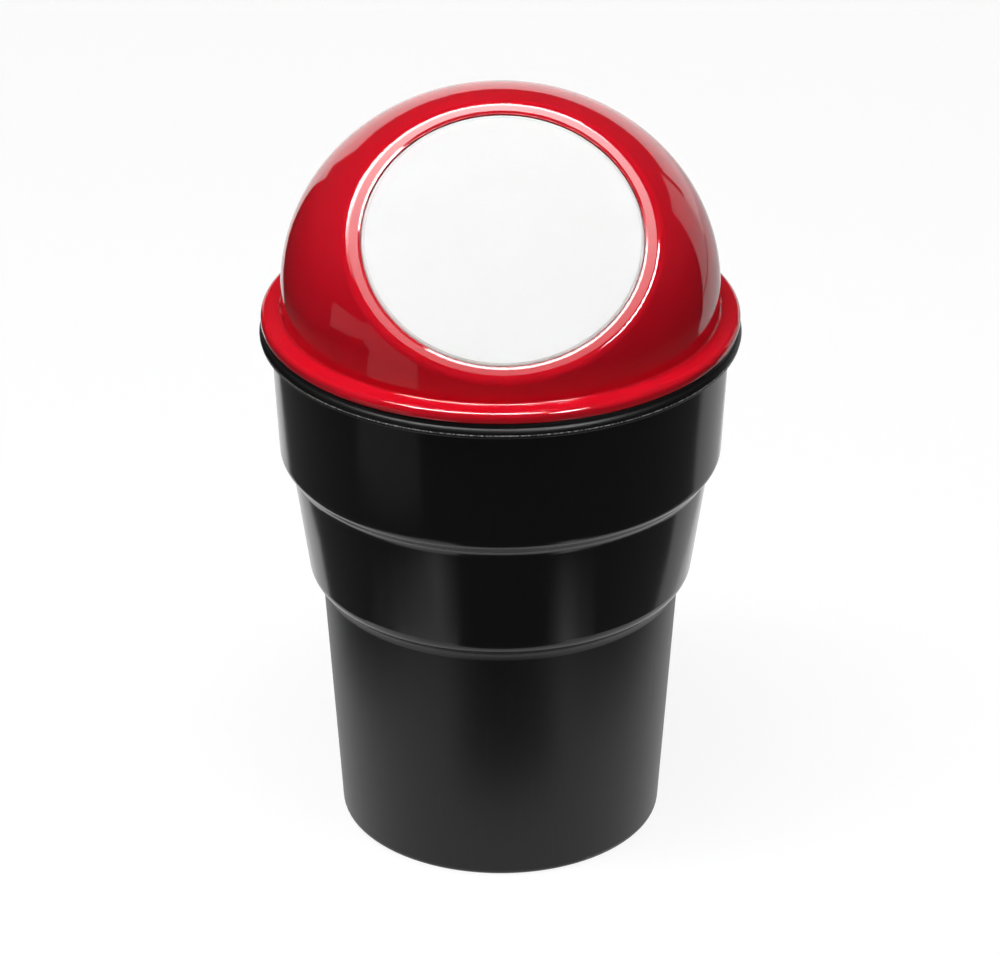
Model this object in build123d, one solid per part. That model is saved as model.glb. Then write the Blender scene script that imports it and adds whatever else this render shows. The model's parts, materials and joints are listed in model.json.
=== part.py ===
from build123d import *

import math
import os

# Car litter bin that stands in a cup holder: a black stepped cup, a red dome lid that plugs into
# its mouth, and a white press flap that swings inwards on a sprung pin under the dome's crown.
#
# Frame: origin at the centre of the foot's underside, +Z up, the slanted opening faces -Y.
# All sizes are millimetres.

# Cup, outside, from the foot upwards
FOOT_R = 32.9
FOOT_EDGE = 1.5
FOOT_RING_W = 4.0
FOOT_RECESS = 1.0
RECESS_SLOPE = 0.6
LOWER_H = 53.9
LOWER_FLARE = 3.7
LOWER_SHOULDER_W = 2.4
LOWER_SHOULDER_H = 2.0
LOWER_HOLLOW_R = 3.2
LOWER_CREST_R = 4.0
MIDDLE_H = 24.0
MIDDLE_FLARE = 3.5
UPPER_SHOULDER_W = 2.35
UPPER_SHOULDER_H = 2.7
UPPER_HOLLOW_R = 2.9
UPPER_CREST_R = 3.0
UPPER_H = 25.7
UPPER_FLARE = 1.45
RIM_OVERHANG = 2.3
RIM_H = 2.25
RIM_ROUND = 1.3
RIM_TOP_DRAFT = 0.1
RIM_PARTING_H = 0.8
RIM_PARTING_DRAFT = 0.2

# Cup, inside
CUP_WALL = 1.6
CUP_FLOOR = 1.8
FLOOR_ROUND = 2.0
SMALL_ROUND = 0.3

# Lid: a land that rests on the rim, a flange with a shadow gap under it, plug skirt in the mouth,
# dome above
LAND_INSET = 2.2
SHADOW_GAP = 0.75
FLANGE_INSET = 0.3
FLANGE_H = 2.45
FLANGE_ROUND = 1.2
FLANGE_FOOT_ROUND = 0.7
FLANGE_LEDGE_W = 4.1
DOME_CREASE = 0.5
DOME_WALL_H = 5.3
DOME_RISE = 39.9
LID_WALL = 1.5
PLUG_DEPTH = 7.0
PLUG_CLEARANCE = 0.35
PLUG_LEAD = 0.6

# Slanted opening: a flat ring where a plane cuts the dome
OPENING_TILT = 47.5
OPENING_RISE = 0.1
RING_FOOT_DROP = 0.1
RING_SIDE_W = 2.68
RING_END_W = 2.13
RING_T = 2.0
RING_OUTER_ROUND = 2.4
BEVEL_SIDE_W = 0.36
BEVEL_END_W = 0.51
BEVEL_DEPTH = 0.11

# Flap: pad in the opening, stop flange behind the ring
PAD_RECESS = 0.25
PAD_GAP = 0.28
PAD_ROUND = 0.5
FLAP_SKIN = 1.6
FLAP_WALL = 1.6
STOP_GAP = 0.1
STOP_T = 1.5
STOP_OVERLAP = 0.75

# Hinge under the crown: pin, ears on the lid, knuckles on the flap
PIN_R = 1.0
PIN_END = 0.3
PIN_RUNNING_FIT = 0.06
HINGE_DROP = 3.5
HINGE_ABOVE_STOP = 1.3
KNUCKLE_R = 2.3
KNUCKLE_IN = 3.3
KNUCKLE_W = 4.0
ARM_REACH = 9.0
EAR_SIDE_GAP = 0.3
EAR_W = 2.5
EAR_R = 2.4

# Return spring: torsion coil on the pin with two straight legs
WIRE_R = 0.35
COIL_CLEARANCE = 0.3
COIL_PITCH = 0.95
COIL_FULL_TURNS = 4
LEG_SEAT_GAP = 0.15
FLAP_LEG_REACH = 17.5


# Heights and radii that follow from the driving sizes
lower_top_r = FOOT_R + LOWER_FLARE
middle_base_r = lower_top_r + LOWER_SHOULDER_W
middle_top_r = middle_base_r + MIDDLE_FLARE
upper_base_r = middle_top_r + UPPER_SHOULDER_W
upper_top_r = upper_base_r + UPPER_FLARE
rim_r = upper_top_r + RIM_OVERHANG
middle_base_z = LOWER_H + LOWER_SHOULDER_H
middle_top_z = middle_base_z + MIDDLE_H
upper_base_z = middle_top_z + UPPER_SHOULDER_H
rim_z = upper_base_z + UPPER_H
seat_z = rim_z + RIM_H
upper_slope = UPPER_FLARE / UPPER_H

flange_r = rim_r - FLANGE_INSET
flange_base_z = seat_z + SHADOW_GAP
flange_z = flange_base_z + FLANGE_H
dome_r = flange_r - FLANGE_LEDGE_W
dome_z = flange_z + DOME_WALL_H
dome_inner_r = dome_r - LID_WALL
dome_inner_rise = DOME_RISE - LID_WALL


def cup_inner_r(z):
    """Radius of the cup's inner wall at height z in the upper tier and through the rim."""
    return upper_base_r + upper_slope * (z - upper_base_z) - CUP_WALL * math.hypot(1, upper_slope)


def inset(before, corner, after):
    """Corner of the cup's inner wall: CUP_WALL inside both outer lines that meet at the corner."""
    first = (Vector(*corner) - Vector(*before)).normalized()
    second = (Vector(*after) - Vector(*corner)).normalized()
    inwards = Vector(-first.Y - second.Y, first.X + second.X)
    moved = Vector(*corner) + inwards * (CUP_WALL / (1 + first.dot(second)))
    return moved.X, moved.Y


# The plane of the ring starts on the dome's wall, RING_FOOT_DROP below its spring line, and leans
# back by 90 degrees less OPENING_TILT. It cuts the dome's ellipsoid in an ellipse.
tilt = math.radians(OPENING_TILT)
ring_distance = dome_r * math.cos(tilt) - RING_FOOT_DROP * math.sin(tilt)
slope_curve = (math.sin(tilt) / dome_r) ** 2 + (math.cos(tilt) / DOME_RISE) ** 2
skew = ring_distance * math.sin(tilt) * math.cos(tilt) * (DOME_RISE ** -2 - dome_r ** -2)
ring_shift = -skew / slope_curve
normal_curve = (math.cos(tilt) / dome_r) ** 2 + (math.sin(tilt) / DOME_RISE) ** 2
span = 1 - ring_distance ** 2 * normal_curve + slope_curve * ring_shift ** 2
ring_half_w = dome_r * math.sqrt(span)
ring_half_l = math.sqrt(span / slope_curve)

# Working plane of the opening: x across, y up the slope, z outwards. The opening sits a little
# above the middle of the ring's own ellipse.
outward = Vector(0, -math.cos(tilt), math.sin(tilt))
upslope = Vector(0, math.sin(tilt), math.cos(tilt))
opening_centre = Vector(0, 0, dome_z) + outward * ring_distance + upslope * (ring_shift + OPENING_RISE)
opening_plane = Plane(opening_centre, x_dir=(1, 0, 0), z_dir=outward)

opening_half_w = ring_half_w - RING_SIDE_W
opening_half_l = ring_half_l - RING_END_W
hole_half_w = opening_half_w - BEVEL_SIDE_W
hole_half_l = opening_half_l - BEVEL_END_W
pad_half_w = hole_half_w - PAD_GAP
pad_half_l = hole_half_l - PAD_GAP
stop_half_w = opening_half_w + STOP_OVERLAP
stop_half_l = opening_half_l + STOP_OVERLAP
stop_front = -(RING_T + STOP_GAP)
stop_back = stop_front - STOP_T
pad_back = -(PAD_RECESS + FLAP_SKIN)

# Hinge axis along X, given on the opening's plane and in the bin's frame
hinge_up = stop_half_l + HINGE_ABOVE_STOP
hinge_z = dome_z + dome_inner_rise - HINGE_DROP
hinge_out = (hinge_z - opening_centre.Z - hinge_up * upslope.Z) / outward.Z
hinge_point = opening_centre + upslope * hinge_up + outward * hinge_out
knuckle_out = KNUCKLE_IN + KNUCKLE_W
ear_in = knuckle_out + EAR_SIDE_GAP
ear_out = ear_in + EAR_W
coil_r = PIN_R + COIL_CLEARANCE + WIRE_R


def turned(outline):
    """Revolve a closed half outline, drawn as (radius, height), with the seam at the back."""
    return revolve(Plane.YZ * make_face(outline), axis=Axis.Z)


def rounded_outline(corners):
    """Closed outline through (radius, height, corner radius) triples."""
    points = [(r, z) for r, z, _ in corners]
    return FilletPolyline(*points, radius=[c for _, _, c in corners], close=True)


def build_cup():
    """Stepped cup of even wall: three flared tiers, shoulders between them, recessed foot, rim bead."""
    floor_z = FOOT_RECESS + CUP_FLOOR
    lower_slope = LOWER_FLARE / LOWER_H
    recess_r = FOOT_R - FOOT_RING_W
    foot = (FOOT_R, 0)
    lower_top = (lower_top_r, LOWER_H)
    middle_base = (middle_base_r, middle_base_z)
    middle_top = (middle_top_r, middle_top_z)
    upper_base = (upper_base_r, upper_base_z)
    upper_top = (upper_top_r, rim_z)
    corners = [
        (0, FOOT_RECESS, 0),
        (recess_r - RECESS_SLOPE, FOOT_RECESS, 0),
        (recess_r, 0, 0),
        (*foot, FOOT_EDGE),
        (*lower_top, LOWER_HOLLOW_R),
        (*middle_base, LOWER_CREST_R),
        (*middle_top, UPPER_HOLLOW_R),
        (*upper_base, UPPER_CREST_R),
        (*upper_top, SMALL_ROUND),
        (rim_r - RIM_PARTING_DRAFT, rim_z, SMALL_ROUND),
        (rim_r, rim_z + RIM_PARTING_H, 0),
        (rim_r - RIM_TOP_DRAFT, seat_z, RIM_ROUND),
        (cup_inner_r(seat_z), seat_z, SMALL_ROUND),
        (*inset(middle_top, upper_base, upper_top), UPPER_CREST_R - CUP_WALL),
        (*inset(middle_base, middle_top, upper_base), UPPER_HOLLOW_R + CUP_WALL),
        (*inset(lower_top, middle_base, middle_top), LOWER_CREST_R - CUP_WALL),
        (*inset(foot, lower_top, middle_base), LOWER_HOLLOW_R + CUP_WALL),
        (FOOT_R + lower_slope * floor_z - CUP_WALL, floor_z, FLOOR_ROUND),
        (0, floor_z, 0),
    ]
    return turned(rounded_outline(corners))


def dome_body(radius, rise, below):
    """Solid under a half ellipse of the given radius and rise, carried down by the outline below.

    A quarter ellipse is exactly a quadratic curve whose middle point weighs the root of a half.
    """
    crown = dome_z + rise
    arc = Bezier((radius, dome_z), (radius, crown), (0, crown), weights=[1, math.sqrt(0.5), 1])
    axis_line = Line((0, crown), (0, below[0][1]))
    inner_points = below[1:-1]
    lower = FilletPolyline(
        *[(r, z) for r, z, _ in below],
        radius=[c for _, _, c in inner_points],
    )
    return turned([lower, arc, axis_line])


def beyond(depth):
    """Block that holds everything outside the plane that lies depth behind the ring's face."""
    size = 4 * dome_r
    return opening_plane * Pos(0, 0, -depth) * Box(
        size, size, size, align=(Align.CENTER, Align.CENTER, Align.MIN)
    )


def ring_face(solid):
    """Flat outer face of the ring: the plane face that lies furthest outwards."""
    outwards = Axis(opening_centre, outward)
    return solid.faces().filter_by(GeomType.PLANE).sort_by(outwards)[-1]


def build_ear(side):
    """Hinge ear that hangs from the crown on one side of the knuckles."""
    middle = side * (ear_in + ear_out) / 2
    across = Location((middle, hinge_point.Y, hinge_z), (0, 90, 0))
    round_end = across * Cylinder(EAR_R, EAR_W)
    root = Location((middle, hinge_point.Y, hinge_z)) * Box(
        EAR_W, 2 * EAR_R, 2 * HINGE_DROP, align=(Align.CENTER, Align.CENTER, Align.MIN)
    )
    hole = across * Cylinder(PIN_R, 2 * EAR_W)
    return round_end + root - hole


def build_lid():
    """Dome with flange and plug skirt, cut by the opening's plane and closed there by a bevelled ring."""
    plug_foot = seat_z - PLUG_DEPTH
    plug_foot_r = cup_inner_r(plug_foot) - PLUG_CLEARANCE
    plug_top_r = cup_inner_r(seat_z) - PLUG_CLEARANCE
    land_r = rim_r - LAND_INSET
    outer = dome_body(dome_r, DOME_RISE, [
        (0, plug_foot, 0),
        (plug_foot_r - PLUG_LEAD, plug_foot, 0),
        (plug_foot_r, plug_foot + PLUG_LEAD, 0),
        (plug_top_r, seat_z, 0),
        (land_r, seat_z, 0),
        (land_r, flange_base_z, 0),
        (flange_r, flange_base_z, FLANGE_FOOT_ROUND),
        (flange_r, flange_z, FLANGE_ROUND),
        (dome_r, flange_z, DOME_CREASE),
        (dome_r, dome_z, 0),
    ])
    inner = dome_body(dome_inner_r, dome_inner_rise, [
        (0, plug_foot, 0),
        (plug_foot_r - LID_WALL, plug_foot, 0),
        (dome_inner_r, dome_z, 0),
    ])
    blunt = outer - beyond(0)
    blunt = fillet(ring_face(blunt).outer_wire().edges(), RING_OUTER_ROUND)
    ears = [build_ear(side) & blunt for side in (-1, 1)]
    shell = blunt - (inner - beyond(RING_T))
    hole = extrude(Ellipse(hole_half_w, hole_half_l), RING_T + STOP_T, both=True)
    bevel = loft([
        Ellipse(opening_half_w, opening_half_l),
        Pos(0, 0, -BEVEL_DEPTH) * Ellipse(hole_half_w, hole_half_l),
    ])
    lid = shell - opening_plane * (hole + bevel)
    for ear in ears:
        lid += ear
    return lid


def ellipse_plate(half_w, half_l, front, back):
    """Elliptic plate on the opening's plane, between two distances from the ring's face."""
    return Pos(0, 0, back) * extrude(Ellipse(half_w, half_l), front - back)


def build_flap():
    """Dished press flap: rounded pad, stop flange, two arms and the knuckles on the pin."""
    pad = ellipse_plate(pad_half_w, pad_half_l, -PAD_RECESS, stop_back)
    pad = fillet(pad.faces().sort_by(Axis.Z)[-1].edges(), PAD_ROUND)
    stop = ellipse_plate(stop_half_w, stop_half_l, stop_front, stop_back)
    dish = ellipse_plate(pad_half_w - FLAP_WALL, pad_half_l - FLAP_WALL, pad_back, stop_back)
    flap = pad + stop - dish
    arm_outline = make_face(Polyline(
        (pad_half_l - ARM_REACH, pad_back + SMALL_ROUND),
        (pad_half_l, stop_front - SMALL_ROUND),
        (hinge_up, hinge_out + KNUCKLE_R),
        (hinge_up, hinge_out - KNUCKLE_R),
        close=True,
    ))
    for side in (-1, 1):
        start = min(side * KNUCKLE_IN, side * knuckle_out)
        knuckle_plane = Plane((start, 0, 0), x_dir=(0, 1, 0), z_dir=(1, 0, 0))
        arm = knuckle_plane * extrude(arm_outline, KNUCKLE_W)
        knuckle = knuckle_plane * Pos(hinge_up, hinge_out) * extrude(Circle(KNUCKLE_R), KNUCKLE_W)
        bore = knuckle_plane * Pos(hinge_up, hinge_out) * extrude(
            Circle(PIN_R + PIN_RUNNING_FIT), KNUCKLE_W
        )
        flap = flap + arm + knuckle - bore
    return opening_plane * flap


def build_pin():
    """Straight pin through both ears, standing a little proud of each."""
    length = 2 * (ear_out + PIN_END)
    return Location(hinge_point, (0, 90, 0)) * Cylinder(PIN_R, length)


def build_spring():
    """Torsion coil on the pin; one leg bears on the pad's back, the other under the crown.

    The coil turns clockwise seen from +X. A leg leaves it along the coil's own tangent.
    """
    leg_start_out = hinge_out + coil_r
    leg_end_out = pad_back - WIRE_R - LEG_SEAT_GAP
    lean = math.atan2(leg_end_out - leg_start_out, FLAP_LEG_REACH)
    start_angle = 180 - OPENING_TILT - math.degrees(lean)
    crown_angle = 90
    turn = 360 * COIL_FULL_TURNS + start_angle - crown_angle
    length = COIL_PITCH * turn / 360

    # The back leg runs level from the top of the coil until the crown comes down to it
    roof_z = hinge_z + coil_r + WIRE_R + LEG_SEAT_GAP
    roof_y = dome_inner_r * math.sqrt(1 - ((roof_z - dome_z) / dome_inner_rise) ** 2)
    crown_leg = roof_y - hinge_point.Y

    coil_plane = Plane(
        hinge_point + Vector(length / 2, 0, 0),
        x_dir=(0, math.cos(math.radians(start_angle)), math.sin(math.radians(start_angle))),
        z_dir=(-1, 0, 0),
    )
    coil = Helix(COIL_PITCH, length, coil_r)
    entry = coil % 0
    leave = coil % 1
    flap_leg = Line(coil @ 0 - entry * FLAP_LEG_REACH / math.cos(lean), coil @ 0)
    back_leg = Line(coil @ 1, coil @ 1 + leave * crown_leg)
    path = Wire([flap_leg.edge(), coil.edge(), back_leg.edge()])
    section = Plane(path @ 0, z_dir=path % 0) * Circle(WIRE_R)
    return coil_plane * sweep(section, path=path, is_frenet=True)


parts = {
    "bin_cup": build_cup(),
    "dome_lid": build_lid(),
    "flap": build_flap(),
    "hinge_pin": build_pin(),
    "return_spring": build_spring(),
}

os.makedirs("parts", exist_ok=True)
for name, solid in parts.items():
    export_step(solid, f"parts/{name}.step")
    box = solid.bounding_box()
    print(name, f"{solid.volume:.1f} mm3", [round(v, 2) for v in (*box.min, *box.max)])
print("hinge axis", [round(v, 3) for v in hinge_point], "ring half axes", ring_half_w, ring_half_l)
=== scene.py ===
# %% [markdown]
# A litter bin for a car's cup holder: a stepped black cup, a red dome that plugs into it, and a white
# round flap that swings in under a push and is brought back by a spring. The solids come ready made, at
# real size and in metres. This lesson gives them their surfaces, three thin extra pieces, a camera and a
# small photo studio.

# %% Load the frame
import json
import math

import bpy
import numpy as np
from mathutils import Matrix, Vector

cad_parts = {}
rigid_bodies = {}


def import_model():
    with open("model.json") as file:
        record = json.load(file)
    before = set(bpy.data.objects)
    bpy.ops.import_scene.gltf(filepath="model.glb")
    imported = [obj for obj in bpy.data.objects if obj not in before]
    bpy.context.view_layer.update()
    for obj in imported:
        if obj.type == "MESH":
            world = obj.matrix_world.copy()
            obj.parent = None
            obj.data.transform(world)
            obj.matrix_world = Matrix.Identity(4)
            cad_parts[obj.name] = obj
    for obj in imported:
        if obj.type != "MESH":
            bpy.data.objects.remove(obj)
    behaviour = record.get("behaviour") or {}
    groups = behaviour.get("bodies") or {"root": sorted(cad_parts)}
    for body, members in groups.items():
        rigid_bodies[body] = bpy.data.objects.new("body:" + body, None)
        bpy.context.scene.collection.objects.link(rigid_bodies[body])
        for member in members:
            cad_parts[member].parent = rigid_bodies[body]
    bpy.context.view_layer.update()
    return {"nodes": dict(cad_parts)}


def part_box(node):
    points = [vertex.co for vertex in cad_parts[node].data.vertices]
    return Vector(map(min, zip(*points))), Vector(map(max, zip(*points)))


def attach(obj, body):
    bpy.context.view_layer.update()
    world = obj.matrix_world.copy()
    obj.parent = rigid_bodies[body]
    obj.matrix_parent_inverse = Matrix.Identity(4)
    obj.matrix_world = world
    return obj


for leftover in list(bpy.data.objects):
    bpy.data.objects.remove(leftover, do_unlink=True)

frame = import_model()
nodes = frame["nodes"]
MM = 0.001


# %% [markdown]
# The picture was taken with a long lens from a little over one metre, looking down at the bin. A long
# lens keeps the sides of the cup almost parallel. The camera could be placed by eye, but worked-out
# numbers give the same view on every run. The lens is given as the number of pixels that one radian
# covers, and Blender wants it in millimetres on a 36 mm sensor, so the two are tied together here.

# %% The camera
IMAGE_WIDTH_PX = 1000
SENSOR_WIDTH_MM = 36.0
FOCAL_PX = 5532.8
CAMERA_DISTANCE = 1130.9 * MM
CAMERA_ELEVATION = math.radians(27.3)
CAMERA_AZIMUTH = math.radians(-1.2)
AIM = Vector((-0.1 * MM, 0.0, 75.05 * MM))

out_to_camera = Vector((
    math.sin(CAMERA_AZIMUTH) * math.cos(CAMERA_ELEVATION),
    -math.cos(CAMERA_AZIMUTH) * math.cos(CAMERA_ELEVATION),
    math.sin(CAMERA_ELEVATION),
))
camera_data = bpy.data.cameras.new("photo_camera")
camera_data.sensor_fit = "HORIZONTAL"
camera_data.sensor_width = SENSOR_WIDTH_MM
camera_data.lens = FOCAL_PX / IMAGE_WIDTH_PX * SENSOR_WIDTH_MM
camera = bpy.data.objects.new("photo_camera", camera_data)
camera.location = AIM + CAMERA_DISTANCE * out_to_camera
camera.rotation_euler = (-out_to_camera).to_track_quat("-Z", "Y").to_euler()
bpy.context.collection.objects.link(camera)
bpy.context.scene.camera = camera
bpy.context.scene.view_settings.view_transform = "Standard"
print("lens in mm:", round(camera_data.lens, 1), "camera at:", [round(v, 3) for v in camera.location])


# %% [markdown]
# Four helpers serve every finish below. One turns a colour as a painter writes it (sRGB hex) into the
# linear numbers that light is worked out in. One adds a shader node, sets it up and wires its inputs.
# One starts an empty material. The last turns the size of a pattern in millimetres into the scale that
# Blender's textures ask for. The nodes could be drawn by hand in the Shader Editor, but as code they can
# be read and run again.

# %% Colour, node and scale helpers
def linear(hex_colour):
    """sRGB hex to linear RGBA: c/12.92 for a channel c near black, else ((c+0.055)/1.055) to the 2.4."""
    channels = [int(hex_colour[i:i + 2], 16) / 255 for i in (1, 3, 5)]
    return [c / 12.92 if c <= 0.04045 else ((c + 0.055) / 1.055) ** 2.4 for c in channels] + [1.0]


def add(tree, kind, inputs=None, **settings):
    """Add a node: settings are its own properties, inputs are values or the sockets that feed it.

    An input is named, or numbered where names repeat: a Mix node has its two colours at 6 and 7 with the
    result at output 2, and its two plain numbers at 2 and 3 with the result at output 0.
    """
    made = tree.nodes.new(kind)
    for name, value in settings.items():
        setattr(made, name, value)
    for key, value in (inputs or {}).items():
        if isinstance(value, bpy.types.NodeSocket):
            tree.links.new(value, made.inputs[key])
        else:
            made.inputs[key].default_value = value
    return made


def new_material(name):
    """An empty node material and its node tree."""
    material = bpy.data.materials.new(name)
    material.use_nodes = True
    material.node_tree.nodes.clear()
    return material, material.node_tree


def per_mm(size_mm):
    """Texture scale whose features are about size_mm apart, on coordinates in metres: one over the size."""
    return 1.0 / (size_mm * MM)


print("white as linear:", linear("#ffffff"), "grain of 0.4 mm has scale:", round(per_mm(0.4)))


# %% [markdown]
# Gloss shows what stands around it, so the studio matters as much as the lamps. The room itself is one
# dim grey. A picture of a real studio could wrap round the scene instead, but a plain room leaves every
# reflection to the boards and lamps below, which can be moved one by one.

# %% The room
ROOM = 0.045
world = bpy.data.worlds.new("dim_studio")
bpy.context.scene.world = world
world.use_nodes = True
tree = world.node_tree
tree.nodes.clear()
room = add(tree, "ShaderNodeBackground", {"Color": (ROOM, ROOM, ROOM, 1.0), "Strength": 1.0})
add(tree, "ShaderNodeOutputWorld", {"Surface": room.outputs[0]})
print("room brightness:", ROOM)


# %% [markdown]
# The bin stands on white paper. Seen by the camera, or in gloss, the paper glows almost white by itself
# and adds a little of the light that falls on it, so the shadow at the bin's foot stays. To all other
# light it is a pale grey sheet. Plain white paper under strong lamps would be simpler, but it throws so
# much light back up that the underside of every curve loses its shade. Like every flat thing in this
# studio, it is a sheet of numpy points.

# %% The paper
PAPER_HALF_MM = 30000
PAPER_GLOW = 0.9
PAPER_SHADE = 0.15


def flat_piece(name, corners_mm, material, faces=None, **ray_visibility):
    """A flat studio piece from corners in millimetres, one face unless told, and which rays see it."""
    mesh = bpy.data.meshes.new(name)
    corners = np.array(corners_mm, dtype=float) * MM
    mesh.from_pydata(corners.tolist(), [], faces or [tuple(range(len(corners)))])
    mesh.materials.append(material)
    piece = bpy.data.objects.new(name, mesh)
    for ray, seen in ray_visibility.items():
        setattr(piece, ray, seen)
    bpy.context.collection.objects.link(piece)
    return piece


def paper_finish():
    """Glow plus a share of matt paper for rays that look at it, plain matt paper for all other light."""
    material, tree = new_material("white_paper")
    path = add(tree, "ShaderNodeLightPath")
    camera_or_gloss = add(tree, "ShaderNodeMath", {
        0: path.outputs["Is Camera Ray"], 1: path.outputs["Is Glossy Ray"],
    }, operation="MAXIMUM")
    looked_at = add(tree, "ShaderNodeMath", {
        0: camera_or_gloss.outputs[0], 1: path.outputs["Is Transmission Ray"],
    }, operation="MAXIMUM")
    glow = add(tree, "ShaderNodeEmission", {"Color": linear("#ffffff"), "Strength": PAPER_GLOW})
    shade = add(tree, "ShaderNodeBsdfDiffuse", {"Color": (PAPER_SHADE, PAPER_SHADE, PAPER_SHADE, 1.0)})
    seen = add(tree, "ShaderNodeAddShader", {0: glow.outputs[0], 1: shade.outputs[0]})
    matt = add(tree, "ShaderNodeBsdfDiffuse", {"Color": linear("#a9a9a7")})
    surface = add(tree, "ShaderNodeMixShader", {
        "Fac": looked_at.outputs[0], 1: matt.outputs[0], 2: seen.outputs[0],
    })
    add(tree, "ShaderNodeOutputMaterial", {"Surface": surface.outputs[0]})
    return material


corner_signs = ((-1, -1), (1, -1), (1, 1), (-1, 1))
paper_corners = [(sx * PAPER_HALF_MM, sy * PAPER_HALF_MM, 0) for sx, sy in corner_signs]
flat_piece("paper_floor", paper_corners, paper_finish())
print("paper corners in mm:", paper_corners)


# %% [markdown]
# A black gloss on white paper would look grey, because it mirrors the paper. So black cards lie on the
# paper in front and at both sides, and leave a white board under the bin and a white field behind it. A
# dark floor would do the same, but it would show in the picture. These cards are seen by reflections
# only. They get darker away from the bin, as a dim room does.

# %% Black cards
REFLECTION_ONLY = dict(
    visible_camera=False, visible_diffuse=False, visible_shadow=False,
    visible_transmission=False, visible_volume_scatter=False,
)
CARD_LIFT_MM = 0.5
CARD_FAR_MM = PAPER_HALF_MM
CARD_NEAR_GLOW, CARD_NEAR_MM = 0.135, 200
CARD_FAR_GLOW, CARD_DARK_MM = 0.02, 330
LEFT_FRONT_MM = -97
RIGHT_FRONT_MM = -64
FRONT_EDGE_MM = [(-42, -97), (-28, -62), (30, -62), (38, -64)]
# The last corner of each side edge lies at the far end of the paper
LEFT_EDGE_MM = [
    (-76, -97), (-83, 34), (-107, 59), (-127, 141), (-160, 294), (-172, 366), (-222, 504), (-318, 700),
    (-0.55 * CARD_FAR_MM, CARD_FAR_MM),
]
RIGHT_EDGE_MM = [
    (66, -64), (91, 0), (116, 27), (178, 65), (275, 160), (354, 215), (0.76 * CARD_FAR_MM, CARD_FAR_MM),
]


def card_finish():
    """A faint glow that falls along a smooth step from near to far value with distance from the bin."""
    material, tree = new_material("black_card")
    place = add(tree, "ShaderNodeTexCoord").outputs["Object"]
    distance = add(tree, "ShaderNodeVectorMath", {0: place}, operation="LENGTH").outputs["Value"]
    strength = add(tree, "ShaderNodeMapRange", {
        "Value": distance, "From Min": CARD_NEAR_MM * MM, "From Max": CARD_DARK_MM * MM,
        "To Min": CARD_NEAR_GLOW, "To Max": CARD_FAR_GLOW,
    }, interpolation_type="SMOOTHSTEP")
    glow = add(tree, "ShaderNodeEmission", {"Color": linear("#ffffff"), "Strength": strength.outputs[0]})
    add(tree, "ShaderNodeOutputMaterial", {"Surface": glow.outputs[0]})
    return material


far = CARD_FAR_MM
front_far_side = [(far, RIGHT_FRONT_MM), (far, -far), (-far, -far)]
card_outlines = {
    "black_card_left": LEFT_EDGE_MM + [(-far, far), (-far, LEFT_FRONT_MM)],
    "black_card_right": RIGHT_EDGE_MM + [(far, far), (far, RIGHT_FRONT_MM)],
    "black_card_front": [(-far, LEFT_FRONT_MM)] + FRONT_EDGE_MM + front_far_side,
}
black_card = card_finish()
for name, outline in card_outlines.items():
    flat_piece(name, [(x, y, CARD_LIFT_MM) for x, y in outline], black_card, **REFLECTION_ONLY)
print("black cards:", list(card_outlines))


# %% [markdown]
# Two pale strips of paper lie across the front card. The middle tier mirrors them as soft upright
# streaks, and the lower tier, which is rougher, as a broad glow. Narrow lamps could make such streaks,
# but they would light the bin as well. Each strip is a small grid of points, with rows leading away from
# the bin and columns going round it. Every point carries its own brightness, and the shader reads it
# back, so the strip fades evenly between them.

# %% Streak strips
STRIP_LIFT_MM = 1.0
STRIPS = {
    "streak_left": dict(
        places=[
            [(-32, -91), (-52, -80), (-66, -69), (-76, -56), (-84, -41), (-90, -23)],
            [(-48, -116), (-70, -104), (-82, -92), (-95, -78), (-106, -60), (-115, -40)],
        ],
        profile=[0.0, 1.0, 0.75, 0.5, 0.25, 0.08], peaks=[0.82, 0.79], powers=[1.0, 3.4],
    ),
    "streak_right": dict(
        places=[
            [(32, -74), (40, -70), (43, -67), (46, -64), (53, -57), (60, -47)],
            [(36, -90), (45, -86), (50, -82), (54, -80), (63, -72), (72, -61)],
            [(43, -114), (54, -108), (60, -105), (65, -102), (76, -93), (88, -82)],
        ],
        profile=[0.0, 0.45, 1.0, 1.0, 0.4, 0.2], peaks=[1.9, 0.72, 0.17], powers=[1.0, 1.0, 1.0],
    ),
}


def strip_finish():
    """Glow taken from the brightness stored on the strip's points."""
    material, tree = new_material("pale_strip")
    stored = add(tree, "ShaderNodeAttribute", attribute_name="brightness")
    glow = add(tree, "ShaderNodeEmission", {"Color": linear("#ffffff"), "Strength": stored.outputs["Fac"]})
    add(tree, "ShaderNodeOutputMaterial", {"Surface": glow.outputs[0]})
    return material


def strip_brightness(profile, peaks, powers):
    """The card's own glow plus, row by row, a peak times the profile raised to that row's power."""
    across_strip = np.array(profile)[None, :] ** np.array(powers)[:, None]
    return CARD_NEAR_GLOW + np.array(peaks)[:, None] * across_strip


pale_strip = strip_finish()
for name, strip in STRIPS.items():
    brightness = strip_brightness(strip["profile"], strip["peaks"], strip["powers"])
    rows, columns = brightness.shape
    level = np.full((rows * columns, 1), STRIP_LIFT_MM)
    corners = np.hstack([np.reshape(strip["places"], (-1, 2)), level])
    index = np.arange(rows * columns).reshape(rows, columns)
    quads = np.stack([index[:-1, :-1], index[:-1, 1:], index[1:, 1:], index[1:, :-1]], axis=-1)
    piece = flat_piece(name, corners, pale_strip, faces=quads.reshape(-1, 4).tolist(), **REFLECTION_ONLY)
    stored = piece.data.attributes.new("brightness", "FLOAT", "POINT")
    stored.data.foreach_set("value", brightness.ravel().astype(np.float32))
print("strips:", list(STRIPS))


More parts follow.
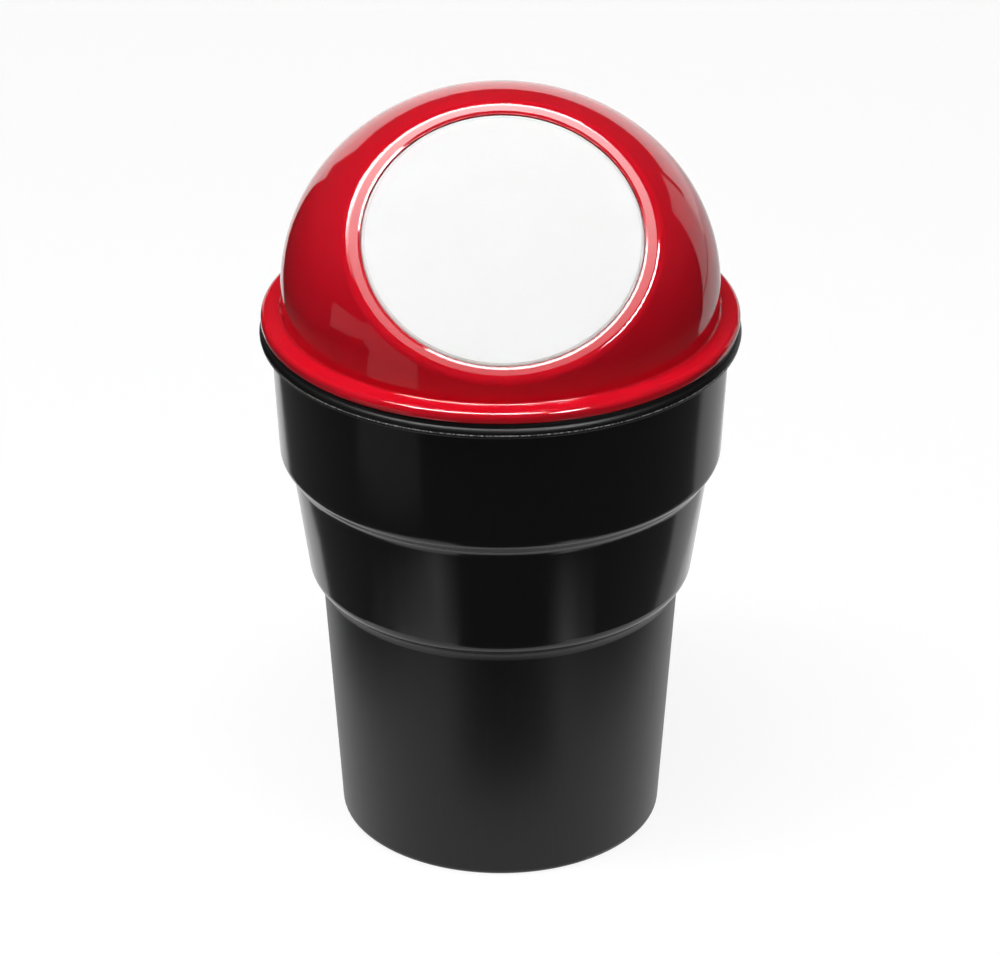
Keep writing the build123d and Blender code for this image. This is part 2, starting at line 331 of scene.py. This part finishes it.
# %% [markdown]
# More boards shape what the dome mirrors. The low white wall behind gives the pale crescent along its
# outline. A board standing on the right gives the second, inner crescent, and the dark strip at its foot
# the line between the two. A pale card tones down the paper on that side, and a grey card on the left
# gives the faint patch low on the front. Where a board goes is found by following a ray from the camera
# to the dome and on from there.

# %% Boards for the dome
BACK_Y_MM = 700


def glow_finish(name, strength):
    """A white surface that only glows, evenly."""
    material, tree = new_material(name)
    glow = add(tree, "ShaderNodeEmission", {"Color": linear("#ffffff"), "Strength": strength})
    add(tree, "ShaderNodeOutputMaterial", {"Surface": glow.outputs[0]})
    return material


boards = {
    "white_back_wall": (1.0, [
        (-318, BACK_Y_MM, 0), (535, BACK_Y_MM, 0), (535, BACK_Y_MM, 255), (-20, BACK_Y_MM, 255),
        (-392, BACK_Y_MM, 285), (-385, BACK_Y_MM, 227), (-352, BACK_Y_MM, 102),
    ]),
    "white_side_board": (0.62, [(354, 215, 0), (460, 540, 0), (460, 540, 275), (354, 215, 218)]),
    "dark_strip": (0.05, [(336, 208, 1.5), (354, 215, 1.5), (470, 570, 1.5), (450, 577, 1.5)]),
    "pale_card": (0.66, [
        (91, 0, 1), (116, 27, 1), (178, 65, 1), (275, 160, 1), (345, 210, 1), (450, 575, 1), (530, 699, 1),
        (150, 699, 1), (95, 200, 1),
    ]),
    "grey_card": (0.34, [
        (-110, -140, 1), (-179, -58, 1), (-333, -139, 1), (-453, -144, 1), (-430, 28, 1), (-1300, 93, 1),
        (-892, -803, 1), (-152, -182, 1),
    ]),
}
for name, (strength, corners) in boards.items():
    flat_piece(name, corners, glow_finish(name + "_paint", strength), **REFLECTION_ONLY)
print("boards:", list(boards))


# %% [markdown]
# Two softboxes hang above and in front. The large left one is brightest over its bulb and fades towards
# its front edge, as real ones do. That fade is what the flat ring round the flap mirrors: pale at its
# top, deep red at its foot. A plain area lamp is even all over, so the softboxes are glowing sheets with
# a material of their own. The small right one hangs nearer the camera and is even.

# %% Softboxes
SOFTBOX_Z_MM = 900
SOFTBOX_FRONT_MM = -380
SOFTBOX_BACK_MM = -116
CORE_FRONT_MM = -206
FADE_MM = 60
CORE_RADIANCE = 24.0
LEFT_X_MM = (-445, 148)
RIGHT_X_MM, RIGHT_Y_MM = (300, 460), (-700, -280)
RIGHT_RADIANCE = 6.5


def softbox_finish():
    """Even glow over the core; in front of it, the glow falls as e to the minus distance over FADE_MM."""
    material, tree = new_material("softbox_cloth")
    place = add(tree, "ShaderNodeTexCoord").outputs["Object"]
    depth = add(tree, "ShaderNodeSeparateXYZ", {0: place}).outputs["Y"]
    share = add(tree, "ShaderNodeMapRange", {
        "Value": depth, "From Min": (CORE_FRONT_MM - FADE_MM) * MM, "From Max": CORE_FRONT_MM * MM,
        "To Min": -1.0, "To Max": 0.0,
    }, clamp=False)
    before_core = add(tree, "ShaderNodeMath", {0: share.outputs[0], 1: 0.0}, operation="MINIMUM")
    fade = add(tree, "ShaderNodeMath", {0: before_core.outputs[0]}, operation="EXPONENT")
    strength = add(tree, "ShaderNodeMath", {0: fade.outputs[0], 1: CORE_RADIANCE}, operation="MULTIPLY")
    glow = add(tree, "ShaderNodeEmission", {"Color": linear("#ffffff"), "Strength": strength.outputs[0]})
    add(tree, "ShaderNodeOutputMaterial", {"Surface": glow.outputs[0]})
    return material


def overhead(name, x_mm, y_mm, z_mm, material, **ray_visibility):
    """A level rectangle over the bin between two X and two Y values."""
    corners = [(x_mm[i], y_mm[j], z_mm) for i, j in ((0, 0), (0, 1), (1, 1), (1, 0))]
    return flat_piece(name, corners, material, **ray_visibility)


left_cloth = softbox_finish()
right_cloth = glow_finish("right_softbox_cloth", RIGHT_RADIANCE)
left_y_mm = (SOFTBOX_FRONT_MM, SOFTBOX_BACK_MM)
overhead("softbox_left", LEFT_X_MM, left_y_mm, SOFTBOX_Z_MM, left_cloth, visible_camera=False)
overhead("softbox_right", RIGHT_X_MM, RIGHT_Y_MM, SOFTBOX_Z_MM, right_cloth, visible_camera=False)
print("softboxes at height in mm:", SOFTBOX_Z_MM)


# %% [markdown]
# The lines of light on small rounded edges need a broader mirror image than these lamps have. Larger
# lamps would widen them, but would also flatten the shading of the dome. So a bright card hangs under
# each lamp. Only reflections see it, and it adds no light to the colours.

# %% Cards for the bright lines
SHINE_DROP_MM = 2
SHINE = {
    "shine_left": (LEFT_X_MM, (CORE_FRONT_MM, 20), 26.0),
    "shine_right": (RIGHT_X_MM, RIGHT_Y_MM, 36.0),
}
for name, (x_mm, y_mm, strength) in SHINE.items():
    paint = glow_finish(name + "_paint", strength)
    overhead(name, x_mm, y_mm, SOFTBOX_Z_MM - SHINE_DROP_MM, paint, **REFLECTION_ONLY)
print("shine cards:", list(SHINE))


# %% [markdown]
# Three thin pieces are too slight for the solids and are made here as numpy surfaces. All come from one
# recipe: a profile of points is carried round an ellipse, row by row, so every row is the ellipse at
# another inset and height. Blender's Screw modifier turns a profile round an axis too, but only in a
# circle. Quads join neighbouring rows, and the last column joins the first, so there is no seam.

# %% Surfaces from a profile
COLUMNS = 256


def wrapped_quads(rows, columns, close_rows):
    """Corner numbers of the quads between rows and columns; columns wrap round, rows too if asked."""
    row = np.arange(rows if close_rows else rows - 1)[:, None]
    column = np.arange(columns)[None, :]
    below, beside = (row + 1) % rows, (column + 1) % columns
    corners = [
        row * columns + column, below * columns + column,
        below * columns + beside, row * columns + beside,
    ]
    return np.stack(corners, axis=-1).reshape(-1, 4)


def swept_piece(name, points, faces, material):
    """A smooth mesh object at the origin from an array of points in metres and a list of faces."""
    mesh = bpy.data.meshes.new(name)
    mesh.from_pydata(points.tolist(), [], faces)
    mesh.polygons.foreach_set("use_smooth", np.ones(len(faces), dtype=bool))
    mesh.materials.append(material)
    piece = bpy.data.objects.new(name, mesh)
    bpy.context.collection.objects.link(piece)
    return piece


ANGLE = np.linspace(0.0, 2.0 * np.pi, COLUMNS, endpoint=False)
print("columns round each piece:", len(ANGLE))


# %% [markdown]
# A soft black ring lies on the rim, under the lid's flange, and shuts the slot between them, so smells
# stay in. On a real bin it would be pressed from thermoplastic rubber, which looks dull and near black,
# and it stays on the cup when the lid comes off. A torus would be quicker, but its side is too round.
# This section is a small block with a full, slightly leaning outer side.

# %% Sealing ring
SEAL_PROFILE_MM = np.array([
    (46.55, 110.50), (46.55, 111.18), (46.65, 111.27), (47.50, 111.27), (47.64, 111.22), (47.74, 111.10),
    (47.82, 110.92), (47.87, 110.72), (47.89, 110.52), (47.88, 110.36), (47.70, 110.36), (47.20, 110.50),
])
# Most values of a noise texture lie between these two
NOISE_LOW, NOISE_HIGH = 0.3, 0.7
BLOOM_MM = 3.0
RUBBER_ROUGHNESS = (0.34, 0.46)


def rubber_finish():
    """Near-black; the roughness follows a fine noise, for the dull bloom that rubber gets."""
    material, tree = new_material("black_rubber_seal")
    place = add(tree, "ShaderNodeTexCoord").outputs["Object"]
    bloom = add(tree, "ShaderNodeTexNoise", {"Vector": place, "Scale": per_mm(BLOOM_MM), "Detail": 4.0})
    roughness = add(tree, "ShaderNodeMapRange", {
        "Value": bloom.outputs["Fac"], "From Min": NOISE_LOW, "From Max": NOISE_HIGH,
        "To Min": RUBBER_ROUGHNESS[0], "To Max": RUBBER_ROUGHNESS[1],
    })
    skin = add(tree, "ShaderNodeBsdfPrincipled", {
        "Base Color": linear("#1c1b1c"), "Roughness": roughness.outputs[0], "IOR": 1.5,
    })
    add(tree, "ShaderNodeOutputMaterial", {"Surface": skin.outputs[0]})
    return material


# A profile point at radius r and height z goes round as r times cosine, r times sine, and z
ring_r = SEAL_PROFILE_MM[:, :1] * MM
ring_z = SEAL_PROFILE_MM[:, 1:] * MM
seal_grid = np.stack([ring_r * np.cos(ANGLE), ring_r * np.sin(ANGLE), ring_z + 0.0 * ANGLE], axis=-1)
seal_quads = wrapped_quads(len(SEAL_PROFILE_MM), COLUMNS, close_rows=True)
seal = swept_piece("sealing_ring", seal_grid.reshape(-1, 3), seal_quads.tolist(), rubber_finish())
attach(seal, "cup")
print("sealing ring quads:", len(seal_quads))


# %% [markdown]
# The flap's flat face is a slanted ellipse. Its sizes could be typed in, but measured on the flap they
# follow it if it changes. The points that lie highest along the face's own direction belong to it, and
# their spread across and up the slope gives the two half sizes.

# %% Measure the flap's face
FACE_TILT = math.radians(47.5)
FACE_TOLERANCE_MM = 0.005
across = np.array([1.0, 0.0, 0.0])
upslope = np.array([0.0, math.sin(FACE_TILT), math.cos(FACE_TILT)])
outward = np.cross(across, upslope)

flap_points = np.empty(3 * len(nodes["flap"].data.vertices))
nodes["flap"].data.vertices.foreach_get("co", flap_points)
flap_points = flap_points.reshape(-1, 3)
face_height = (flap_points @ outward).max()
face_points = flap_points[flap_points @ outward > face_height - FACE_TOLERANCE_MM * MM]
face_half_across = np.ptp(face_points @ across) / 2
face_half_up = np.ptp(face_points @ upslope) / 2
face_centre = (face_points @ upslope).min() + face_half_up


def on_face(row_half_across, row_half_up, row_height):
    """Points round the face, row by column by XYZ: ellipses with each row's half sizes, at its height."""
    x = row_half_across[:, None] * np.cos(ANGLE)
    up = row_half_up[:, None] * np.sin(ANGLE) + face_centre
    out = (row_height + face_height)[:, None] + 0.0 * ANGLE
    return x[..., None] * across + up[..., None] * upslope + out[..., None] * outward


print("face half sizes in mm:", round(face_half_across / MM, 2), round(face_half_up / MM, 2))


# %% [markdown]
# On the flap lies a thin white disc, the place for a printed sign, left bare here. It is matt vinyl
# film, cut out with a die, so it shows no mirror image. Its edge is painted a little greyer than its
# face: a painted shade line, in place of the shade that a step at the edge would cast. The edge could
# have a material of its own, but a mark on the points of the edge lets one material serve both.

# %% Matt white vinyl
FILM_MM = 11.0
# Real film is grained finer than this; it is drawn coarser so that it shows
FILM_GRAIN_MM, FILM_GRAIN_DEEP_MM = 0.4, 0.01
FILM_ROUGHNESS = 0.66


def label_finish():
    """White film with slow clouds and fine grain; the marked edge rows are painted greyer, as shade."""
    material, tree = new_material("matt_white_vinyl")
    place = add(tree, "ShaderNodeTexCoord").outputs["Object"]
    film = add(tree, "ShaderNodeTexNoise", {"Vector": place, "Scale": per_mm(FILM_MM), "Detail": 3.0})
    face = add(tree, "ShaderNodeMix", {
        "Factor": film.outputs["Fac"], 6: linear("#ededec"), 7: linear("#f1f1f1"),
    }, data_type="RGBA")
    # Painted shade: the edge rows marked on the points are made greyer than the face
    edge_shade = add(tree, "ShaderNodeAttribute", attribute_name="painted_edge_shade")
    colour = add(tree, "ShaderNodeMix", {
        "Factor": edge_shade.outputs["Fac"], 6: face.outputs[2], 7: linear("#e0e0de"),
    }, data_type="RGBA")
    grain = add(tree, "ShaderNodeTexNoise", {
        "Vector": place, "Scale": per_mm(FILM_GRAIN_MM), "Detail": 2.0,
    })
    normal = add(tree, "ShaderNodeBump", {
        "Height": grain.outputs["Fac"], "Strength": 0.2, "Distance": FILM_GRAIN_DEEP_MM * MM,
    })
    skin = add(tree, "ShaderNodeBsdfPrincipled", {
        "Base Color": colour.outputs[2], "Roughness": FILM_ROUGHNESS, "IOR": 1.5,
        "Normal": normal.outputs[0],
    })
    add(tree, "ShaderNodeOutputMaterial", {"Surface": skin.outputs[0]})
    return material


white_vinyl = label_finish()
print("label film:", white_vinyl.name)


# %% [markdown]
# The disc draws a faint line just inside the flap's outline, with its rounded edge and the painted shade
# on it. A flat copy of the face would be simpler, but it has no edge to carry that line. The rows run
# from the middle of the top over a rounded edge to the middle of the underside, which is sunk a little
# into the flap, and a fan of triangles closes each middle.

# %% Bare label
LABEL_MARGIN_MM = 0.05
LABEL_THICK_MM = 0.08
LABEL_SUNK_MM = 0.02
TOP_INSETS_MM = [22.0, 14.0, 6.0, 1.0, 0.25]
FOOT_INSETS_MM = [0.0, 0.25, 6.0, 22.0]
EDGE_ROWS = 5
half_across = face_half_across - LABEL_MARGIN_MM * MM
half_up = face_half_up - LABEL_MARGIN_MM * MM

# The edge is a quarter circle: its inset goes as one minus the sine of the turn, its height as the cosine
turn = np.linspace(0.0, np.pi / 2, EDGE_ROWS)
edge_inset = LABEL_THICK_MM * (1.0 - np.sin(turn))
edge_height = LABEL_THICK_MM * np.cos(turn)
inset_mm = np.concatenate([TOP_INSETS_MM, edge_inset, FOOT_INSETS_MM])
height_mm = np.concatenate([
    np.full(len(TOP_INSETS_MM), LABEL_THICK_MM), edge_height, np.full(len(FOOT_INSETS_MM), -LABEL_SUNK_MM),
])
label_grid = on_face(half_across - inset_mm * MM, half_up - inset_mm * MM, height_mm * MM)
poles = [face_centre * upslope + (face_height + height_mm[i] * MM) * outward for i in (0, -1)]
label_points = np.vstack([label_grid.reshape(-1, 3), poles])

column = np.arange(COLUMNS)
beside = (column + 1) % COLUMNS
last_row = (len(inset_mm) - 1) * COLUMNS
top_pole, foot_pole = len(label_points) - 2, len(label_points) - 1
top_fan = np.stack([np.full_like(column, top_pole), column, beside], axis=-1)
foot_fan = np.stack([np.full_like(column, foot_pole), last_row + beside, last_row + column], axis=-1)
label_quads = wrapped_quads(len(inset_mm), COLUMNS, close_rows=False)
label_faces = label_quads.tolist() + top_fan.tolist() + foot_fan.tolist()
label = swept_piece("bare_label", label_points, label_faces, white_vinyl)

# Mark the edge rows, which the material paints greyer as a painted shade line
edge_shade_rows = np.zeros(len(inset_mm))
edge_shade_rows[len(TOP_INSETS_MM):len(TOP_INSETS_MM) + EDGE_ROWS] = 1.0
edge_shade_share = np.append(np.repeat(edge_shade_rows, COLUMNS), [0.0, 0.0])
painted_edge_shade = label.data.attributes.new("painted_edge_shade", "FLOAT", "POINT")
painted_edge_shade.data.foreach_set("value", edge_shade_share.astype(np.float32))
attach(label, "flap")
print("label half sizes in mm:", round(half_across / MM, 2), round(half_up / MM, 2))


# %% [markdown]
# The cup is black polypropylene. Its mould is polished on the two upper tiers, and lightly blasted on
# the rim and on the lower tier, which goes into the holder and would show scratches. Two materials could
# meet at the shoulder, but one that changes with height leaves the mesh alone and has no hard border.
# This cell only works out where the mould was blasted.

# %% Where the mould was blasted
BLAST_FULL_MM, BLAST_GONE_MM = 53.5, 55.5
RIM_START_MM, RIM_FULL_MM = 107.7, 108.0


def blasted_shares(tree, height):
    """Shares that step smoothly with height: the lower tier's, and the greater of that and the rim's."""
    below = add(tree, "ShaderNodeMapRange", {
        "Value": height, "From Min": BLAST_FULL_MM * MM, "From Max": BLAST_GONE_MM * MM,
        "To Min": 1.0, "To Max": 0.0,
    }, interpolation_type="SMOOTHSTEP")
    above = add(tree, "ShaderNodeMapRange", {
        "Value": height, "From Min": RIM_START_MM * MM, "From Max": RIM_FULL_MM * MM,
        "To Min": 0.0, "To Max": 1.0,
    }, interpolation_type="SMOOTHSTEP")
    either = add(tree, "ShaderNodeMath", {0: below.outputs[0], 1: above.outputs[0]}, operation="MAXIMUM")
    return below.outputs[0], either.outputs[0]


print("blasted up to mm:", BLAST_FULL_MM, "and from mm:", RIM_FULL_MM)


# %% [markdown]
# Going in and out of a holder leaves upright scuffs low on the cup. Where the two halves of the mould
# met, the rim has a hair line of torn flash; the specks of light it catches are painted on as near-white
# colour, a painted highlight. Both could be modelled, but they hardly stand out from the surface, so noise
# draws them. Squeezed along Z it gives the scuffs, and cut down to a thin band the painted glints.

# %% Scuffs, and painted glints on the flash
SCUFF_MM, SCUFF_SQUEEZE = 0.8, 0.03
SCUFF_PEAKS = (0.58, 0.75)
PARTING_MM, PARTING_HALF_MM = 109.1, 0.11
TORN_MM = 0.5
TORN_PEAKS, GLINT_LEAST = (0.42, 0.62), 0.15


def scuff_share(tree, place, lower_tier):
    """Noise squeezed along Z runs upright; only its highest peaks count, and only on the lower tier."""
    upright = add(tree, "ShaderNodeMapping", {"Vector": place, "Scale": (1.0, 1.0, SCUFF_SQUEEZE)})
    rubbed = add(tree, "ShaderNodeTexNoise", {
        "Vector": upright.outputs[0], "Scale": per_mm(SCUFF_MM), "Detail": 3.0,
    })
    peaks = add(tree, "ShaderNodeMapRange", {
        "Value": rubbed.outputs["Fac"], "From Min": SCUFF_PEAKS[0], "From Max": SCUFF_PEAKS[1],
        "To Min": 0.0, "To Max": 1.0,
    })
    scuffs = add(tree, "ShaderNodeMath", {0: peaks.outputs[0], 1: lower_tier}, operation="MULTIPLY")
    return scuffs.outputs[0]


# Painted highlight: the specks of light on the flash are painted into the colour, not lit
def painted_glint_share(tree, place, height):
    """One inside a thin band at the parting height and nought outside, times a noise that breaks it up."""
    band = add(tree, "ShaderNodeMath", {
        0: height, 1: PARTING_MM * MM, 2: PARTING_HALF_MM * MM,
    }, operation="COMPARE")
    torn = add(tree, "ShaderNodeTexNoise", {"Vector": place, "Scale": per_mm(TORN_MM), "Detail": 2.0})
    specks = add(tree, "ShaderNodeMapRange", {
        "Value": torn.outputs["Fac"], "From Min": TORN_PEAKS[0], "From Max": TORN_PEAKS[1],
        "To Min": GLINT_LEAST, "To Max": 1.0,
    })
    painted_glint = add(tree, "ShaderNodeMath", {0: band.outputs[0], 1: specks.outputs[0]}, operation="MULTIPLY")
    return painted_glint.outputs[0]


print("scuffs about mm apart:", SCUFF_MM, "flash at mm:", PARTING_MM)


# %% [markdown]
# Now the finish itself. The polish mirrors the studio, with faint smears and the long ripples that a
# moulding has. The blast spreads every mirror image into a soft sheen and carries a fine grain. A plain
# black with one roughness would be easier, but the change from tier to tier is what shows the steps of
# the cup.

# %% Black polypropylene
POLISHED, BLASTED = (0.13, 0.17), 0.39
SCUFF_EXTRA = 0.05
SMEAR_MM = 9.0
RIPPLE_MM, RIPPLE_DEEP_MM = 14.0, 0.06
# Blasting leaves pits of about a tenth of a millimetre; they are drawn coarser so that they show
GRAIN_MM, GRAIN_DEEP_MM = 0.45, 0.03
# The usual level is 0.5; this one is matched to how strongly the cup mirrors the studio
CUP_SHINE = 0.36


def cup_finish():
    """Roughness blends polish and blast by height, plus scuffs; scuffs and painted glints lift the colour.
    """
    material, tree = new_material("moulded_black_polypropylene")
    place = add(tree, "ShaderNodeTexCoord").outputs["Object"]
    height = add(tree, "ShaderNodeSeparateXYZ", {0: place}).outputs["Z"]
    lower_tier, blasted = blasted_shares(tree, height)
    scuffs = scuff_share(tree, place, lower_tier)
    painted_glint = painted_glint_share(tree, place, height)

    scuffed = add(tree, "ShaderNodeMix", {
        "Factor": scuffs, 6: linear("#0a0a0b"), 7: linear("#131314"),
    }, data_type="RGBA")
    # Painted highlight: near-white specks in the parting band stand in for light caught by the flash
    colour = add(tree, "ShaderNodeMix", {
        "Factor": painted_glint, 6: scuffed.outputs[2], 7: linear("#e4e4e6"),
    }, data_type="RGBA")

    # Roughness: faint smears on the polish, an even blast, and a little more on the scuffs
    smears = add(tree, "ShaderNodeTexNoise", {"Vector": place, "Scale": per_mm(SMEAR_MM), "Detail": 4.0})
    polish = add(tree, "ShaderNodeMapRange", {
        "Value": smears.outputs["Fac"], "From Min": NOISE_LOW, "From Max": NOISE_HIGH,
        "To Min": POLISHED[0], "To Max": POLISHED[1],
    })
    blended = add(tree, "ShaderNodeMix", {
        "Factor": blasted, 2: polish.outputs[0], 3: BLASTED,
    }, data_type="FLOAT")
    roughness = add(tree, "ShaderNodeMath", {
        0: scuffs, 1: SCUFF_EXTRA, 2: blended.outputs[0],
    }, operation="MULTIPLY_ADD")

    # Relief: grain where the mould was blasted, slow ripples everywhere
    grain = add(tree, "ShaderNodeTexNoise", {"Vector": place, "Scale": per_mm(GRAIN_MM), "Detail": 2.0})
    ripple = add(tree, "ShaderNodeTexNoise", {"Vector": place, "Scale": per_mm(RIPPLE_MM), "Detail": 1.0})
    grain_share = add(tree, "ShaderNodeMath", {0: grain.outputs["Fac"], 1: blasted}, operation="MULTIPLY")
    fine = add(tree, "ShaderNodeBump", {
        "Height": grain_share.outputs[0], "Strength": 0.35, "Distance": GRAIN_DEEP_MM * MM,
    })
    relief = add(tree, "ShaderNodeBump", {
        "Height": ripple.outputs["Fac"], "Strength": 0.3, "Distance": RIPPLE_DEEP_MM * MM,
        "Normal": fine.outputs[0],
    })
    skin = add(tree, "ShaderNodeBsdfPrincipled", {
        "Base Color": colour.outputs[2], "Roughness": roughness.outputs[0], "IOR": 1.49,
        "Specular IOR Level": CUP_SHINE, "Normal": relief.outputs[0],
    })
    add(tree, "ShaderNodeOutputMaterial", {"Surface": skin.outputs[0]})
    return material


nodes["bin_cup"].material_slots[0].material = cup_finish()
print("cup:", nodes["bin_cup"].material_slots[0].material.name)


# %% [markdown]
# The lid is ABS, coloured right through and moulded in a mirror-polished tool. It could be a plain red
# gloss, but the real plastic is a little see-into: light goes some tenths of a millimetre under the skin
# and comes out again beside the place it went in, which keeps thin gaps and sharp edges red and not
# black. Real mouldings also have faint flow clouds in the colour and a haze of wiping on the gloss.

# %% Red ABS
FLOW_MM = 22.0
HAZE_MM = 6.0
MIRROR_POLISH = (0.03, 0.06)
WAVE_MM, WAVE_DEEP_MM = 45.0, 0.1
SEE_INTO_MM = 1.2


def lid_finish():
    """Flow clouds blend two reds, a finer noise sets the roughness, and a long wave bends the normal."""
    material, tree = new_material("polished_red_abs")
    place = add(tree, "ShaderNodeTexCoord").outputs["Object"]
    clouds = add(tree, "ShaderNodeTexNoise", {"Vector": place, "Scale": per_mm(FLOW_MM), "Detail": 3.0})
    red = add(tree, "ShaderNodeMix", {
        "Factor": clouds.outputs["Fac"], 6: linear("#d91025"), 7: linear("#e3152b"),
    }, data_type="RGBA")
    haze = add(tree, "ShaderNodeTexNoise", {"Vector": place, "Scale": per_mm(HAZE_MM), "Detail": 4.0})
    roughness = add(tree, "ShaderNodeMapRange", {
        "Value": haze.outputs["Fac"], "From Min": NOISE_LOW, "From Max": NOISE_HIGH,
        "To Min": MIRROR_POLISH[0], "To Max": MIRROR_POLISH[1],
    })
    wave = add(tree, "ShaderNodeTexNoise", {"Vector": place, "Scale": per_mm(WAVE_MM), "Detail": 0.0})
    normal = add(tree, "ShaderNodeBump", {
        "Height": wave.outputs["Fac"], "Strength": 0.1, "Distance": WAVE_DEEP_MM * MM,
    })
    skin = add(tree, "ShaderNodeBsdfPrincipled", {
        "Base Color": red.outputs[2], "Roughness": roughness.outputs[0], "IOR": 1.53,
        "Subsurface Weight": 0.5, "Subsurface Radius": (1.0, 0.2, 0.2),
        "Subsurface Scale": SEE_INTO_MM * MM, "Normal": normal.outputs[0],
    })
    add(tree, "ShaderNodeOutputMaterial", {"Surface": skin.outputs[0]})
    return material


red_abs = lid_finish()
nodes["dome_lid"].material_slots[0].material = red_abs
print("lid:", red_abs.name)


# %% [markdown]
# Inside the opening runs a lip as thin as a sheet of paper, moulded with the lid. It almost touches the
# flap's edge and hides the dark gap, so only a red line shows round the white. It could be a bevelled
# curve, but here each row of its profile tells how far outside the flap's flat face it lies and how high
# over it, so the gap stays even all round by itself. The profile runs the other way round than the
# seal's, so the quads are turned over to face outwards.

# %% Lip in the opening
LIP_PROFILE_MM = np.array([
    (0.83, 0.10), (0.64, 0.10), (0.59, 0.06), (0.58, -0.02), (0.59, -0.20), (0.64, -0.25), (0.83, -0.25),
])
beyond = LIP_PROFILE_MM[:, 0] * MM
lip_grid = on_face(face_half_across + beyond, face_half_up + beyond, LIP_PROFILE_MM[:, 1] * MM)
lip_quads = wrapped_quads(len(LIP_PROFILE_MM), COLUMNS, close_rows=True)[:, ::-1]
lip = swept_piece("opening_lip", lip_grid.reshape(-1, 3), lip_quads.tolist(), red_abs)
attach(lip, "lid")
print("lip quads:", len(lip_quads))


# %% [markdown]
# The flap is the same plastic in white, from a tool with a fine satin texture that takes the mirror out
# of it. Plain white would look like paint. White plastic lets light of every colour, and not only red,
# wander under its skin, so its rounded edge glows softly next to the gap. Fingers press in the middle,
# so the texture is worn a little smoother there.

# %% White ABS
PRESS_RADIUS_MM = 22.0
PRESSED, UNTOUCHED = 0.62, 0.7
CLOUD_MM = 16.0
# The real texture is finer than this; it is drawn coarser so that it shows
SATIN_MM, SATIN_DEEP_MM = 0.5, 0.02
flap_low, flap_high = (np.array(corner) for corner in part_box("flap"))
press_centre = (flap_low + flap_high) / 2


def flap_finish():
    """Off-white clouds; roughness falls slightly towards the flap's middle; fine noise for the grain."""
    material, tree = new_material("satin_white_abs")
    place = add(tree, "ShaderNodeTexCoord").outputs["Object"]
    clouds = add(tree, "ShaderNodeTexNoise", {"Vector": place, "Scale": per_mm(CLOUD_MM), "Detail": 3.0})
    white = add(tree, "ShaderNodeMix", {
        "Factor": clouds.outputs["Fac"], 6: linear("#eeeeed"), 7: linear("#f2f2f2"),
    }, data_type="RGBA")
    reach = add(tree, "ShaderNodeVectorMath", {0: place, 1: press_centre.tolist()}, operation="DISTANCE")
    roughness = add(tree, "ShaderNodeMapRange", {
        "Value": reach.outputs["Value"], "From Min": 0.0, "From Max": PRESS_RADIUS_MM * MM,
        "To Min": PRESSED, "To Max": UNTOUCHED,
    }, interpolation_type="SMOOTHSTEP")
    grain = add(tree, "ShaderNodeTexNoise", {"Vector": place, "Scale": per_mm(SATIN_MM), "Detail": 2.0})
    normal = add(tree, "ShaderNodeBump", {
        "Height": grain.outputs["Fac"], "Strength": 0.2, "Distance": SATIN_DEEP_MM * MM,
    })
    skin = add(tree, "ShaderNodeBsdfPrincipled", {
        "Base Color": white.outputs[2], "Roughness": roughness.outputs[0], "IOR": 1.53,
        "Subsurface Weight": 0.6, "Subsurface Radius": (1.0, 1.0, 1.0),
        "Subsurface Scale": SEE_INTO_MM * MM, "Normal": normal.outputs[0],
    })
    add(tree, "ShaderNodeOutputMaterial", {"Surface": skin.outputs[0]})
    return material


nodes["flap"].material_slots[0].material = flap_finish()
print("flap presses at mm:", np.round(press_centre / MM, 1).tolist())


# %% [markdown]
# Pin and spring are drawn steel wire. A drawing die leaves fine lines along the wire, which draw each
# highlight out. On the straight pin they run along X, so its noise is stretched that way. The spring's
# wire winds round, and lines that follow it would need a map of its own for a part that hardly shows, so
# its noise is left even.

# %% Drawn steel
# Real die lines are finer than this; they are drawn coarser so that they show
DIE_LINE_MM = 0.3
DRAWN = (0.22, 0.38)
STEEL_STRETCH = {"hinge_pin": 0.03, "return_spring": 1.0}


def steel_finish(name, stretch):
    """Metal with its roughness from a noise whose X axis is squeezed: a small stretch gives long lines."""
    material, tree = new_material(name)
    place = add(tree, "ShaderNodeTexCoord").outputs["Object"]
    along = add(tree, "ShaderNodeMapping", {"Vector": place, "Scale": (stretch, 1.0, 1.0)})
    lines = add(tree, "ShaderNodeTexNoise", {
        "Vector": along.outputs[0], "Scale": per_mm(DIE_LINE_MM), "Detail": 3.0,
    })
    roughness = add(tree, "ShaderNodeMapRange", {
        "Value": lines.outputs["Fac"], "From Min": NOISE_LOW, "From Max": NOISE_HIGH,
        "To Min": DRAWN[0], "To Max": DRAWN[1],
    })
    skin = add(tree, "ShaderNodeBsdfPrincipled", {
        "Base Color": linear("#b9b8b4"), "Roughness": roughness.outputs[0], "Metallic": 1.0,
    })
    add(tree, "ShaderNodeOutputMaterial", {"Surface": skin.outputs[0]})
    return material


for name, stretch in STEEL_STRETCH.items():
    nodes[name].material_slots[0].material = steel_finish("drawn_steel_" + name, stretch)
print("steel on:", list(STEEL_STRETCH))
